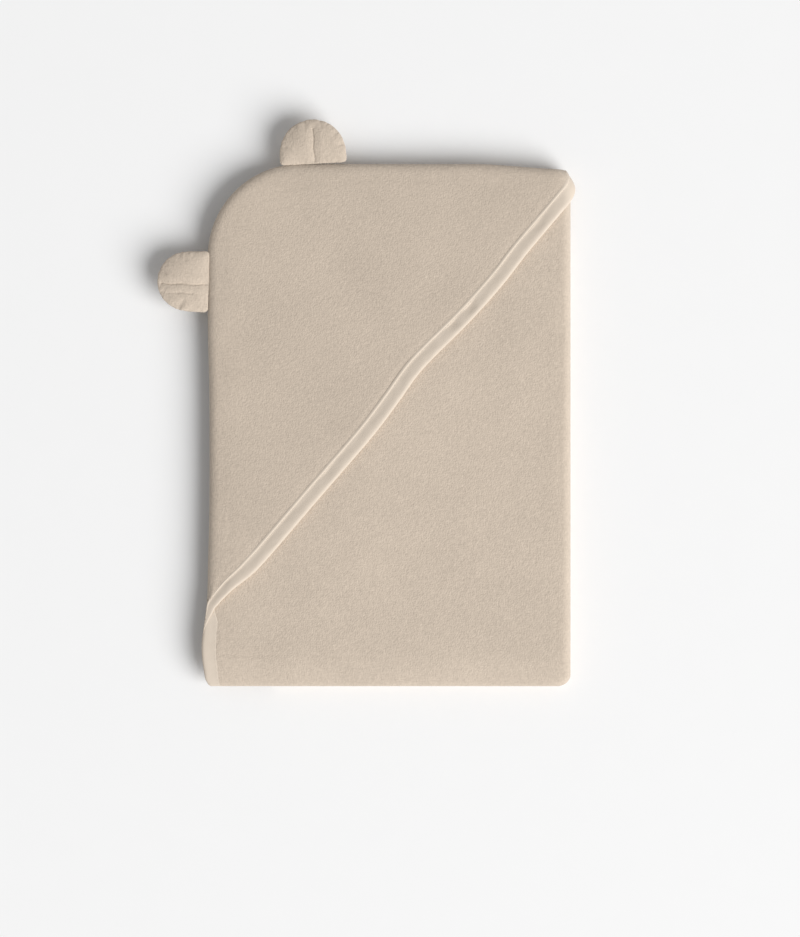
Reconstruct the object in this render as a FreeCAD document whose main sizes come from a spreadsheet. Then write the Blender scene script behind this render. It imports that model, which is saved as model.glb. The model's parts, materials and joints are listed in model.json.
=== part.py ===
import FreeCAD, Part

# A hooded baby towel, folded for the shelf, in millimetres.
#
# The cloth is one square of terry. It is folded in half along the bottom edge, then in three,
# so three leaves lie on each other: bottom, middle and top. Each leaf is a hairpin of two layers.
# The hood panel lies on the top leaf, sewn to it along its left and top edges, and its open
# mouth, bound with tape, runs from the lower left to the upper right. One ear is sewn into
# the seam on the left edge and one into the seam on the top edge.
#
# Origin: centre of the whole outline, on the surface it lies on. +X right, +Y towards the top edge.

import math
import os

import Sketcher
from FreeCAD import Placement, Rotation, Vector

SIZES = {
    "cloth": (2.8, "thickness of one layer of terry"),
    "slip": (0.2, "air between two layers of one leaf, and under the hood"),
    "leaf_gap": (0.3, "air between two leaves"),
    "end_gap": (0.15, "how far a leaf stops short of the fold line it turns on"),
    "fold_ease": (0.3, "how much less than a leaf's thickness its end is rounded by"),
    "folded_width": (261, "left edge to right fold"),
    "folded_height": (374, "bottom fold to top edge, half of the open cloth"),
    "inner_fold": (44, "the left fold of the two lower leaves, from the left edge"),
    "bottom_width": (214, "width of the bottom leaf"),
    "under_drop": (4, "how far the two lower leaves stop short of the top edge"),
    "corner_radius": (66, "rounded corner of the hood and of the cloth"),
    "binding_width": (11, "finished width of the bias binding"),
    "binding_skin": (0.5, "thickness of the binding's tape"),
    "binding_rise": (0.4, "how far the mouth binding stands above the hood"),
    "mouth_left": (57, "where the mouth's middle line meets the left edge, above the bottom fold"),
    "mouth_right": (355.5, "where it meets the right fold, above the bottom fold"),
    "mouth_sag": (2.3, "how far it sags below a straight line near its left end"),
    "mouth_swell": (3.0, "how far it swells above that line past its middle"),
    "thread_width": (0.7, "width of a stitch row"),
    "thread_rise": (0.4, "height of a stitch row above the tape"),
    "seam_inset": (5, "the hood's hidden seam, from the edge"),
    "left_ear_width": (45, "along the seam"),
    "left_ear_depth": (37, "from the left edge outwards"),
    "left_ear_place": (289.6, "its middle, above the bottom fold"),
    "right_ear_width": (49.5, "along the seam"),
    "right_ear_depth": (32, "from the top edge outwards"),
    "right_ear_place": (77, "its middle, from the left edge"),
    "ear_thickness": (7.8, "two faces and the filling"),
    "ear_face": (2.6, "thickness of one face"),
    "ear_gap": (2, "from the towel's edge to the line the ear bends on"),
    "ear_pinch": (10, "length over which the gathered base opens to full thickness"),
    "ear_root": (0.4, "half thickness at the line the ear bends on"),
    "ear_corner": (4, "rounded corners of the base"),
}

FULL = 1000.0  # longer than any piece, for cutting tools that run right through
CLEAR = 1  # how far a cutting tool reaches past what it cuts
FACE_FLAT, FILLING_FLAT = 0.5, 0.1  # what the rounding leaves straight at the rim of an ear
NODES = []


class Size:
    """A length: its value, and the sheet expression that binds it."""

    def __init__(self, value, text):
        self.value = float(value)
        self.text = text

    def __add__(self, other):
        other = as_size(other)
        return Size(self.value + other.value, f"({self.text} + {other.text})")

    def __sub__(self, other):
        other = as_size(other)
        return Size(self.value - other.value, f"({self.text} - {other.text})")

    def __mul__(self, factor):
        return Size(self.value * factor, f"({self.text} * {factor})")

    def __truediv__(self, divisor):
        return Size(self.value / divisor, f"({self.text} / {divisor})")

    def __neg__(self):
        return Size(-self.value, f"(0 - {self.text})")


def as_size(value):
    if isinstance(value, Size):
        return value
    return Size(value, str(value))


def fill_sheet(doc):
    """Writes the driving dimensions to the sheet and returns them as sizes."""
    sheet = doc.addObject("Spreadsheet::Sheet", "Sizes")
    for row, (alias, (value, note)) in enumerate(SIZES.items(), start=1):
        sheet.set(f"A{row}", str(value))
        sheet.setAlias(f"A{row}", alias)
        sheet.set(f"B{row}", note)
    doc.recompute()
    return {alias: Size(value, f"Sizes.{alias}") for alias, (value, _) in SIZES.items()}


def bind(obj, prop, size):
    """Sets a property to a size, bound to the sheet."""
    obj.setExpression(prop, as_size(size).text)


def new_body(doc, name):
    body = doc.addObject("PartDesign::Body", name)
    body.Label = name
    return body


def origin_plane(body, role):
    return next(item for item in body.Origin.OriginFeatures if item.Role == role)


def arc_between(start, end, centre, clockwise):
    """An arc from start to end, and which of its ends is the start."""
    first, last = (end, start) if clockwise else (start, end)
    circle = Part.Circle(centre, Vector(0, 0, 1), centre.distanceToPoint(start))
    angles = [math.atan2(point.y - centre.y, point.x - centre.x) for point in (first, last)]
    return Part.ArcOfCircle(circle, *angles), (2 if clockwise else 1)


def pin_point(sketch, geometry, point, x=None, y=None):
    """Holds one point of the sketch at sizes measured from the origin."""
    for kind, size in (("DistanceX", x), ("DistanceY", y)):
        if size is None:
            continue
        size = as_size(size)
        index = sketch.addConstraint(
            Sketcher.Constraint(kind, -1, 1, geometry, point, size.value)
        )
        if "Sizes" in size.text:
            bind(sketch, f"Constraints[{index}]", size)


def draw_outline(body, role, name, corners, lift=0):
    """A closed sketch on one of the body's origin planes. A corner is (x, y), or
    (x, y, (centre x, centre y), clockwise) where an arc leads from it to the next one."""
    sketch = body.newObject("Sketcher::SketchObject", name)
    sketch.AttachmentSupport = (origin_plane(body, role), "")
    sketch.MapMode = "FlatFace"
    bind(sketch, "AttachmentOffset.Base.z", lift)
    points = [Vector(as_size(c[0]).value, as_size(c[1]).value, 0) for c in corners]
    starts = []
    for index, corner in enumerate(corners):
        start, end = points[index], points[(index + 1) % len(points)]
        if len(corner) == 2:
            starts.append((sketch.addGeometry(Part.LineSegment(start, end)), 1))
            continue
        centre = Vector(as_size(corner[2][0]).value, as_size(corner[2][1]).value, 0)
        arc, start_end = arc_between(start, end, centre, corner[3])
        starts.append((sketch.addGeometry(arc), start_end))
    for index, (geometry, start_end) in enumerate(starts):
        before, before_start = starts[index - 1]
        sketch.addConstraint(
            Sketcher.Constraint("Coincident", before, 3 - before_start, geometry, start_end)
        )
    for index, corner in enumerate(corners):
        geometry, start_end = starts[index]
        pin_point(sketch, geometry, start_end, corner[0], corner[1])
        if len(corner) == 4:
            chord = points[(index + 1) % len(points)] - points[index]
            if abs(chord.x) > abs(chord.y):
                pin_point(sketch, geometry, 3, y=corner[2][1])
            else:
                pin_point(sketch, geometry, 3, x=corner[2][0])
    return sketch


def pad(body, sketch, length, both_ways=False):
    feature = body.newObject("PartDesign::Pad", sketch.Name + "_pad")
    feature.Profile = sketch
    feature.SideType = "Symmetric" if both_ways else "One side"
    bind(feature, "Length", length)
    body.Document.recompute()
    return feature


def pocket(body, sketch):
    """Cuts right through, both ways, and makes sure that something was cut."""
    before = body.Shape.Volume
    feature = body.newObject("PartDesign::Pocket", sketch.Name + "_pocket")
    feature.Profile = sketch
    feature.Type = "ThroughAll"
    feature.SideType = "Symmetric"
    body.Document.recompute()
    if not body.Shape.Volume < before - 1e-3:
        raise RuntimeError(f"{sketch.Name} cut nothing")


def round_off(body, role, name, x, y, x_side, y_side, radius):
    """Rounds one outer corner at (x, y) of the sketch plane. The sides are +1 or -1."""
    inner_x, inner_y = x - radius * x_side, y - radius * y_side
    corners = [
        (inner_x, y, (inner_x, inner_y), x_side * y_side > 0),
        (x, inner_y),
        (x + x_side, inner_y),
        (x + x_side, y + y_side),
        (inner_x, y + y_side),
    ]
    pocket(body, draw_outline(body, role, name, corners))


def box(doc, name, low, high):
    """A cutting box between two corners."""
    solid = doc.addObject("Part::Box", name)
    for axis, side, start, end in zip("xyz", ("Length", "Width", "Height"), low, high):
        bind(solid, f"Placement.Base.{axis}", start)
        bind(solid, side, as_size(end) - start)
    return solid


def boolean(doc, kind, name, base, tool):
    feature = doc.addObject(f"Part::{kind}", name)
    feature.Base = base
    feature.Tool = tool
    return feature


def fuse_all(doc, name, shapes):
    if len(shapes) == 1:
        return shapes[0]
    feature = doc.addObject("Part::MultiFuse", name)
    feature.Shapes = shapes
    return feature


def keep(feature, label):
    """Names a finished sub-part and puts it on the list to export."""
    feature.Label = label
    NODES.append(feature)
    return feature


def places(s):
    """Where the folded towel lies about the origin, and the height of each leaf."""
    right_end = s["folded_width"] - s["end_gap"]
    leaf = s["cloth"] * 2 + s["slip"]
    lift = leaf + s["leaf_gap"]
    fold = leaf - s["fold_ease"]
    left = s["left_ear_depth"] - (right_end + s["left_ear_depth"]) / 2
    bottom = -(s["folded_height"] + s["right_ear_depth"]) / 2
    return {
        "leaf": leaf,
        "fold": fold,
        "left": left,
        "right": left + right_end,
        "inner_left": left + s["inner_fold"] + s["end_gap"],
        "bottom": bottom,
        "top": bottom + s["folded_height"],
        "under_top": bottom + s["folded_height"] - s["under_drop"],
        "bottom_floor": as_size(0),
        "middle_floor": lift,
        "top_floor": lift * 2,
        "seam": lift * 2 + leaf + s["slip"] / 2,
    }


def leaf_body(doc, s, p, name, span, inset, rounded):
    """One leaf, a hairpin of two layers over a span of (left, right, top, floor). With an inset
    it is the thin core that a binding holds.
    rounded lists its round corners: (plane, right or left, far or near, radius)."""
    left, right, top, floor = span
    body = new_body(doc, name)
    bend = s["cloth"] + s["slip"] / 2
    roof = floor + p["leaf"]
    near = p["bottom"] + bend
    far = top - inset
    centre = (near, floor + bend)
    corners = [
        (far, floor + inset),
        (near, floor + inset, centre, True),
        (near, roof - inset),
        (far, roof - inset),
        (far, roof - s["cloth"] + inset),
        (near, roof - s["cloth"] + inset, centre, False),
        (near, floor + s["cloth"] - inset),
        (far, floor + s["cloth"] - inset),
    ]
    profile = draw_outline(body, "YZ_Plane", name + "_section", corners, lift=left)
    pad(body, profile, right - left)
    for number, (role, x_side, y_side, radius) in enumerate(rounded):
        x = right if x_side > 0 else left
        if role == "XY_Plane":
            y = far
        else:
            y = roof if y_side > 0 else floor
        round_off(body, role, f"{name}_corner{number}", x, y, x_side, y_side, radius)
    return body


def split_leaf(doc, s, p, which, span, rounded, core_ends, zones):
    """The terry and the binding of one leaf. zones are where the binding lies, and core_ends
    is how far the terry inside it stops short on the left and on the right."""
    left, right, top, floor = span
    left_inset, right_inset = core_ends
    whole = leaf_body(doc, s, p, which + "_whole", span, as_size(0), rounded)
    skin = s["binding_skin"]
    core_span = (left + left_inset, right - right_inset, top, floor)
    core_rounded = [
        (role, x_side, y_side, radius - skin)
        for role, x_side, y_side, radius in rounded
        if role == "XY_Plane"
    ]
    thin = leaf_body(doc, s, p, which + "_thin", core_span, skin, core_rounded)
    zone = fuse_all(doc, which + "_zone", zones)
    bare = boolean(doc, "Cut", which + "_bare", whole, zone)
    core = boolean(doc, "Common", which + "_core", thin, whole)
    terry = keep(fuse_all(doc, which + "_terry", [bare, core]), f"towel_leaf_{which}")
    keep(boolean(doc, "Cut", which + "_tape", whole, terry), f"edge_binding_{which}")


def corner_zone(doc, name, x, y, x_side, radius, band, floor, roof):
    """The curved stretch of a binding round the far corner at (x, y)."""
    inner_x = x - radius * x_side
    low_x, high_x = (x - CLEAR, inner_x) if x_side < 0 else (inner_x, x + CLEAR)
    block = box(doc, name + "_block", (low_x, y - radius, floor), (high_x, y + CLEAR, roof))
    core = doc.addObject("Part::Cylinder", name + "_core")
    bind(core, "Radius", radius - band)
    bind(core, "Height", roof - floor)
    bind(core, "Placement.Base.x", inner_x)
    bind(core, "Placement.Base.y", y - radius)
    bind(core, "Placement.Base.z", floor)
    return boolean(doc, "Cut", name, block, core)


def make_bottom_leaf(doc, s, p):
    """The bottom leaf. Its right edge and its top edge are bound."""
    floor, roof = p["bottom_floor"] - CLEAR, p["leaf"] + CLEAR
    left, right = p["inner_left"], p["inner_left"] + s["bottom_width"]
    bottom, top = p["bottom"], p["under_top"]
    band, radius = s["binding_width"], s["corner_radius"]
    outer = (right + CLEAR, top + CLEAR, roof)
    zones = [
        box(doc, "bottom_right_zone", (right - band, bottom - CLEAR, floor), outer),
        box(doc, "bottom_top_zone", (left - CLEAR, top - band, floor), outer),
        corner_zone(doc, "bottom_corner_zone", right, top, 1, radius, band, floor, roof),
    ]
    rounded = [
        ("XZ_Plane", -1, -1, p["fold"]),
        ("XY_Plane", 1, 1, radius),
    ]
    span = (left, right, top, p["bottom_floor"])
    split_leaf(doc, s, p, "bottom", span, rounded, (as_size(0), s["binding_skin"]), zones)


def make_middle_leaf(doc, s, p):
    """The middle leaf, folded over at both ends. Its top edge is bound."""
    floor, roof = p["middle_floor"] - CLEAR, p["middle_floor"] + p["leaf"] + CLEAR
    left, right, top = p["inner_left"], p["right"], p["under_top"]
    low = (left - CLEAR, top - s["binding_width"], floor)
    zones = [box(doc, "middle_top_zone", low, (right + CLEAR, top + CLEAR, roof))]
    rounded = [("XZ_Plane", 1, -1, p["fold"]), ("XZ_Plane", -1, 1, p["fold"])]
    span = (left, right, top, p["middle_floor"])
    split_leaf(doc, s, p, "middle", span, rounded, (as_size(0), as_size(0)), zones)


def make_top_leaf(doc, s, p):
    """The top leaf. The hood is sewn to its upper layer, so only a short stretch of binding
    is left there, below the mouth. Its lower layer is bound on the left edge and the top edge."""
    floor = p["top_floor"] - CLEAR
    above = p["top_floor"] + p["leaf"] + CLEAR
    between = p["top_floor"] + s["cloth"] + s["slip"] / 2
    left, right, bottom, top = p["left"], p["right"], p["bottom"], p["top"]
    band, radius = s["binding_width"], s["corner_radius"]
    corner = (left - CLEAR, bottom - CLEAR, floor)
    under_left_end = (left + band, top + CLEAR, between)
    under_top_end = (right + CLEAR, top + CLEAR, between)
    zones = [
        box(doc, "strip_zone", corner, (left + band, bottom + s["mouth_left"], above)),
        box(doc, "under_left_zone", corner, under_left_end),
        box(doc, "under_top_zone", (left - CLEAR, top - band, floor), under_top_end),
        corner_zone(doc, "under_corner_zone", left, top, -1, radius, band, floor, between),
    ]
    rounded = [
        ("XZ_Plane", 1, 1, p["fold"]),
        ("XY_Plane", -1, 1, radius),
    ]
    span = (left, right, top, p["top_floor"])
    split_leaf(doc, s, p, "top", span, rounded, (s["binding_skin"], as_size(0)), zones)


def beyond_mouth(doc, s, p, name, distance):
    """Everything on the hood's side of the mouth's middle line moved by a distance towards the
    hood's corner. The line is a spline through points whose places come from the sheet."""
    start = Vector(p["left"].value, (p["bottom"] + s["mouth_left"]).value, 0)
    end = Vector((p["right"] + s["end_gap"]).value, (p["bottom"] + s["mouth_right"]).value, 0)
    along = end - start
    across = Vector(-along.y, along.x, 0).normalize()
    stations = [(-0.06, 0), (0, 0), (0.22, -s["mouth_sag"].value), (0.38, 0)]
    stations += [(0.54, s["mouth_swell"].value), (0.72, 0), (1, 0), (1.06, 0)]
    points = [start + along * share + across * (bow + distance) for share, bow in stations]
    line = Part.BSplineCurve()
    line.interpolate(points)
    far = across * FULL
    rim = [points[-1], points[-1] + far, points[0] + far, points[0]]
    edges = [line.toShape()] + [Part.makeLine(a, b) for a, b in zip(rim, rim[1:])]
    region = doc.addObject("Part::Feature", name)
    region.Shape = Part.Face(Part.Wire(edges)).extrude(Vector(0, 0, 2 * p["seam"].value))
    region.Placement = Placement(Vector(0, 0, 0), Rotation())
    return region


def draped_slab(doc, s, p, name, low, high):
    """A flat layer over the top leaf that turns down over its right fold, on the same centre."""
    body = new_body(doc, name)
    fold = p["fold"]
    bend_x, bend_z = p["right"] - fold, p["top_floor"] + p["leaf"] - fold
    left, right = p["left"] - CLEAR, p["right"]
    inner, outer = low - bend_z, high - bend_z
    inner_drop = math.sqrt(inner.value**2 - fold.value**2)
    outer_drop = math.sqrt(outer.value**2 - fold.value**2)
    corners = [
        (left, low),
        (bend_x, low, (bend_x, bend_z), True),
        (right, bend_z + inner_drop),
        (right, bend_z + outer_drop, (bend_x, bend_z), False),
        (bend_x, high),
        (left, high),
    ]
    section = draw_outline(body, "XZ_Plane", name + "_section", corners, lift=-(p["top"] + CLEAR))
    pad(body, section, s["folded_height"] + 2 * CLEAR)
    return body


def hood_blank(doc, s, p):
    """The top leaf's outline with its rounded corner, as a block that bounds the hood."""
    body = new_body(doc, "hood_blank")
    left, right, bottom, top = p["left"], p["right"], p["bottom"], p["top"]
    radius = s["corner_radius"]
    corners = [
        (left, bottom),
        (right, bottom),
        (right, top),
        (left + radius, top, (left + radius, top - radius), False),
        (left, top - radius),
    ]
    pad(body, draw_outline(body, "XY_Plane", "hood_outline", corners), p["seam"] * 2)
    return body


def make_hood(doc, s, p):
    """The hood panel, the binding folded round its mouth, and the row of stitches on it."""
    half = s["binding_width"] / 2
    skin = s["binding_skin"]
    low = p["seam"] + s["slip"] / 2
    high = low + s["cloth"]
    tape_low, tape_high = p["seam"], high + s["binding_rise"]
    blank = hood_blank(doc, s, p)
    edge = beyond_mouth(doc, s, p, "mouth_edge", -half.value)
    inner = beyond_mouth(doc, s, p, "mouth_inner", half.value)
    core_edge = beyond_mouth(doc, s, p, "mouth_core_edge", (skin - half).value)
    panel_slab = draped_slab(doc, s, p, "panel_slab", low, high)
    core_slab = draped_slab(doc, s, p, "core_slab", tape_low + skin, tape_high - skin)
    tape_slab = draped_slab(doc, s, p, "tape_slab", tape_low, tape_high)

    hood_zone = boolean(doc, "Common", "hood_zone", blank, edge)
    tape_zone = boolean(doc, "Cut", "tape_zone", hood_zone, inner)
    panel_zone = boolean(doc, "Common", "panel_zone", blank, inner)
    core_zone = boolean(doc, "Common", "core_zone", tape_zone, core_edge)
    panel = boolean(doc, "Common", "hood_bare", panel_zone, panel_slab)
    core = boolean(doc, "Common", "hood_core", core_zone, core_slab)
    hood = keep(fuse_all(doc, "hood_terry", [panel, core]), "hood_panel")
    tape = boolean(doc, "Common", "hood_tape", tape_zone, tape_slab)
    keep(boolean(doc, "Cut", "hood_tape_folded", tape, hood), "mouth_binding")
    make_mouth_stitching(doc, s, p, half, tape_high)


def make_mouth_stitching(doc, s, p, half, tape_high):
    """One row of thread near the binding's inner edge."""
    row_inner = half - s["thread_width"]
    near = beyond_mouth(doc, s, p, "stitch_near", (row_inner - s["thread_width"]).value)
    far = beyond_mouth(doc, s, p, "stitch_far", row_inner.value)
    strip = boolean(doc, "Cut", "stitch_strip", near, far)
    ends = s["binding_width"]
    slab = box(
        doc,
        "stitch_slab",
        (p["left"] + ends / 2, p["bottom"], tape_high),
        (p["right"] - ends, p["top"], tape_high + s["thread_rise"]),
    )
    keep(boolean(doc, "Common", "stitch_row", strip, slab), "mouth_stitching")


def make_edge_stitching(doc, s, p):
    """The row of thread on the short stretch of edge binding below the mouth."""
    outer = p["left"] + s["binding_width"] - s["thread_width"] * 2
    roof = p["top_floor"] + p["leaf"]
    start = p["bottom"] + s["cloth"] * 2
    end = start + s["mouth_left"] - s["binding_width"]
    high = (outer + s["thread_width"], end, roof + s["thread_rise"])
    keep(box(doc, "edge_stitch_row", (outer, start, roof), high), "edge_stitching")


def make_hood_seam(doc, s, p):
    """The hidden seam that joins the hood to the towel, round the left and top edges."""
    body = new_body(doc, "hood_seam")
    radius, inset, width = s["corner_radius"], s["seam_inset"], s["thread_width"]
    left, top = p["left"] + inset, p["top"] - inset
    bend = (p["left"] + radius, p["top"] - radius)
    start = p["bottom"] + s["mouth_left"] + s["binding_width"] * 2
    end = p["right"] - p["leaf"]
    corners = [
        (left, start),
        (left, bend[1], bend, True),
        (bend[0], top),
        (end, top),
        (end, top - width),
        (bend[0], top - width, bend, False),
        (left + width, bend[1]),
        (left + width, start),
    ]
    roof = p["top_floor"] + p["leaf"]
    outline = draw_outline(body, "XY_Plane", "hood_seam_outline", corners, lift=roof)
    pad(body, outline, s["slip"])
    keep(body, "hood_seam_thread")


def ear_outline(body, name, half_width, start, depth, corner):
    """A round-ended ear that points along +Y."""
    shoulder = depth - half_width
    corners = [
        (-half_width + corner, start),
        (half_width - corner, start, (half_width - corner, start + corner), False),
        (half_width, start + corner),
        (half_width, shoulder, (as_size(0), shoulder), False),
        (-half_width, shoulder),
        (-half_width, start + corner, (-half_width + corner, start + corner), False),
    ]
    return draw_outline(body, "XY_Plane", name, corners)


def pillow(body, outline, thickness, rounding):
    """Pads an outline both ways and rounds its upper and lower edges."""
    block = pad(body, outline, thickness, both_ways=True)
    flat = [
        f"Face{number}"
        for number, face in enumerate(block.Shape.Faces, start=1)
        if abs(face.normalAt(0, 0).z) > 0.9
    ]
    fillet = body.newObject("PartDesign::Fillet", outline.Name + "_fillet")
    fillet.Base = (block, flat)
    bind(fillet, "Radius", rounding)
    body.Document.recompute()


def pinch_base(body, s, name):
    """Tapers the base, where the ear is gathered into the seam."""
    half = s["ear_thickness"] / 2
    for side, label in ((1, "upper"), (-1, "lower")):
        corners = [
            (as_size(-CLEAR), s["ear_root"] * side),
            (as_size(0), s["ear_root"] * side),
            (s["ear_pinch"], half * side),
            (s["ear_pinch"], (half + CLEAR) * side),
            (as_size(-CLEAR), (half + CLEAR) * side),
        ]
        pocket(body, draw_outline(body, "YZ_Plane", f"{name}_{label}_pinch", corners))


def make_ear(doc, s, name, place, turn):
    """An ear: a front face and a back face round a filling, placed with its base on the line
    that it bends on."""
    width, depth = s[name + "_width"], s[name + "_depth"] - s["ear_gap"]
    face = s["ear_face"]
    shell = new_body(doc, name + "_shell")
    outline = ear_outline(shell, name + "_outline", width / 2, as_size(0), depth, s["ear_corner"])
    pillow(shell, outline, s["ear_thickness"], s["ear_thickness"] / 2 - FACE_FLAT)
    pinch_base(shell, s, name)

    wadding = new_body(doc, name + "_wadding")
    inner_half = width / 2 - face
    outline = ear_outline(
        wadding, name + "_inner", inner_half, as_size(0), depth - face, s["ear_corner"]
    )
    inner_thickness = s["ear_thickness"] - face * 2
    pillow(wadding, outline, inner_thickness, inner_thickness / 2 - FILLING_FLAT)

    reach = s["ear_thickness"]
    pocket_start = (-width, s["ear_pinch"] - CLEAR, -reach)
    beyond_pinch = box(doc, name + "_pocket", pocket_start, (width, depth * 2, reach))
    core = boolean(doc, "Common", name + "_core", wadding, beyond_pinch)
    halves = {
        "front": box(doc, name + "_upper", (-width, -depth, 0), (width, depth * 2, reach)),
        "back": box(doc, name + "_lower", (-width, -depth, -reach), (width, depth * 2, 0)),
    }
    pieces = []
    for side, half_space in halves.items():
        half = boolean(doc, "Common", f"{name}_{side}_half", shell, half_space)
        piece = boolean(doc, "Cut", f"{name}_{side}_face", half, core)
        pieces.append(keep(piece, f"{name}_{side}"))
    filling = boolean(doc, "Common", name + "_stuffing", core, shell)
    pieces.append(keep(filling, f"{name}_filling"))
    for piece in pieces:
        piece.Placement = Placement(Vector(0, 0, 0), Rotation(Vector(0, 0, 1), turn))
        for axis, size in zip("xyz", place):
            bind(piece, f"Placement.Base.{axis}", size)


def make_ears(doc, s, p):
    left_place = (p["left"] - s["ear_gap"], p["bottom"] + s["left_ear_place"], p["seam"])
    right_place = (p["left"] + s["right_ear_place"], p["top"] + s["ear_gap"], p["seam"])
    make_ear(doc, s, "left_ear", left_place, 90)
    make_ear(doc, s, "right_ear", right_place, 0)


def check_and_export(doc):
    """Stops on a failed feature or a bad solid, then writes one file for each sub-part."""
    for item in doc.Objects:
        if "Invalid" in item.State or "Error" in item.State:
            raise RuntimeError(f"{item.Name} failed: {item.State}")
    for node in NODES:
        if node.Shape.isNull() or not node.Shape.isValid() or not node.Shape.Solids:
            raise RuntimeError(f"{node.Label} is not a valid solid")
    os.makedirs("parts", exist_ok=True)
    for node in NODES:
        node.Shape.exportStep(f"parts/{node.Label}.step")
        bounds = node.Shape.BoundBox
        print(
            f"{node.Label:22s} solids {len(node.Shape.Solids)}  volume {node.Shape.Volume:10.1f}"
            f"  x {bounds.XMin:8.2f} {bounds.XMax:8.2f}  y {bounds.YMin:8.2f} {bounds.YMax:8.2f}"
            f"  z {bounds.ZMin:6.2f} {bounds.ZMax:6.2f}"
        )


def main():
    doc = FreeCAD.newDocument("hooded_towel")
    s = fill_sheet(doc)
    p = places(s)
    make_bottom_leaf(doc, s, p)
    make_middle_leaf(doc, s, p)
    make_top_leaf(doc, s, p)
    make_hood(doc, s, p)
    make_edge_stitching(doc, s, p)
    make_hood_seam(doc, s, p)
    make_ears(doc, s, p)
    doc.recompute()
    check_and_export(doc)


main()
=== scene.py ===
import json
import math

import bmesh
import bpy
import numpy as np
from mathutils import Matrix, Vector, noise
from mathutils.geometry import delaunay_2d_cdt


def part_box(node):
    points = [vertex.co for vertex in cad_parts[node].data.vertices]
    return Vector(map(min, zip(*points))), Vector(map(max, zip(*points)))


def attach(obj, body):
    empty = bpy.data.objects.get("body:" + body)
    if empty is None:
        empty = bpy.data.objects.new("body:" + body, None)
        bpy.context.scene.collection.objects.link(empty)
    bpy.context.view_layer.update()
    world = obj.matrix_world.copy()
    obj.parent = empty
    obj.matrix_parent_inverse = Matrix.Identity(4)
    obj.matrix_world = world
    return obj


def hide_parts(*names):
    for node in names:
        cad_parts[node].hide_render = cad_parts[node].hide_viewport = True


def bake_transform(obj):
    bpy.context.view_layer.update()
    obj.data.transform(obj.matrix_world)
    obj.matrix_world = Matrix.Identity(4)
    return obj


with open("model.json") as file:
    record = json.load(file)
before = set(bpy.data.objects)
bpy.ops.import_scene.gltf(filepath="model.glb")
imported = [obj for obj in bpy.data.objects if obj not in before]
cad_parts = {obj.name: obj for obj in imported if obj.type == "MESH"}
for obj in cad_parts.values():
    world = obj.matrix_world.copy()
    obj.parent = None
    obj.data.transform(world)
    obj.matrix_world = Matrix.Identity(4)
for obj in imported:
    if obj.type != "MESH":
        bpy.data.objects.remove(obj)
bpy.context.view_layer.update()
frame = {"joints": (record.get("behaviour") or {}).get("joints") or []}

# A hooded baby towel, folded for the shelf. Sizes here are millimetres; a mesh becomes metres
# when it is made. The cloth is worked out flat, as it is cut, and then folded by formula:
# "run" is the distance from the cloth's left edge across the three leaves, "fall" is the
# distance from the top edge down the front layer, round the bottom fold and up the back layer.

MM = 0.001


def box_of(*nodes):
    """Lowest and highest corner of some CAD nodes together, in millimetres."""
    lows, highs = zip(*(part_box(node) for node in nodes))
    return np.min(np.array(lows), axis=0) / MM, np.max(np.array(highs), axis=0) / MM


HINGE = {joint["name"]: np.array(joint["pos_m"]) / MM for joint in frame["joints"]}
LEAF_LOW, LEAF_HIGH = box_of("towel_leaf_top", "edge_binding_top")
LEFT, TOP = LEAF_LOW[0], LEAF_HIGH[1]
BOTTOM = box_of("towel_leaf_bottom")[0][1]
SURFACE = LEAF_HIGH[2]
CLOTH = 2.8  # thickness of one layer
HALF_CLOTH = CLOTH / 2
SLIP = LEAF_HIGH[2] - LEAF_LOW[2] - 2 * CLOTH  # air between two layers
LAYER = HALF_CLOTH + SLIP / 2  # from the middle of a leaf to the middle of one layer
HALF_LEAF = LAYER + HALF_CLOTH
FOLD_REACH = SURFACE - HINGE["unfold_top"][2]  # outer radius of the two folds
FOLD_RADIUS = FOLD_REACH - HALF_LEAF  # to the middle of the leaf
RIGHT_BEND = (HINGE["unfold_top"][0] - FOLD_REACH, HINGE["unfold_top"][2])
LEFT_BEND = (HINGE["unfold_middle"][0] + FOLD_REACH, HINGE["unfold_middle"][2])
BOTTOM_END = box_of("edge_binding_bottom")[1][0]

# Runs at which the top leaf, the right fold, the middle leaf, the left fold and the bottom
# leaf end, and falls at which the front layer, the bottom fold and the back layer end.
BEND = math.pi * FOLD_RADIUS
TOP_LEAF_END = RIGHT_BEND[0] - LEFT
MIDDLE_START = TOP_LEAF_END + BEND
MIDDLE_END = MIDDLE_START + RIGHT_BEND[0] - LEFT_BEND[0]
BOTTOM_START = MIDDLE_END + BEND
CLOTH_WIDTH = BOTTOM_START + BOTTOM_END - LEFT_BEND[0]
HAIRPIN = BOTTOM + HALF_LEAF
FRONT_END = TOP - HAIRPIN
BACK_START = FRONT_END + math.pi * LAYER
CLOTH_LENGTH = BACK_START + FRONT_END
SPLIT = (MIDDLE_START + MIDDLE_END) / 2  # where the two cloth pieces meet

CORNER = 66.0  # radius of the cloth's round corners
TOP_DROP = 3.6  # how far the top edge has come down by the right fold
DROP_START = 190.0
BAND = 11.0  # finished width of the bindings
FOLD_STEPS = 14  # an even number, so that no vertex lies level with a hinge
HAIRPIN_STEPS = 9
FINE, MEDIUM, COARSE = 1.1, 1.8, 6.0  # spacing of vertices
HOOD_LIFT = CLOTH + SLIP  # from the top layer's middle to the hood's middle
HOOD_TURN = FOLD_RADIUS + LAYER + HOOD_LIFT  # radius of the hood's middle at the right fold

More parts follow.
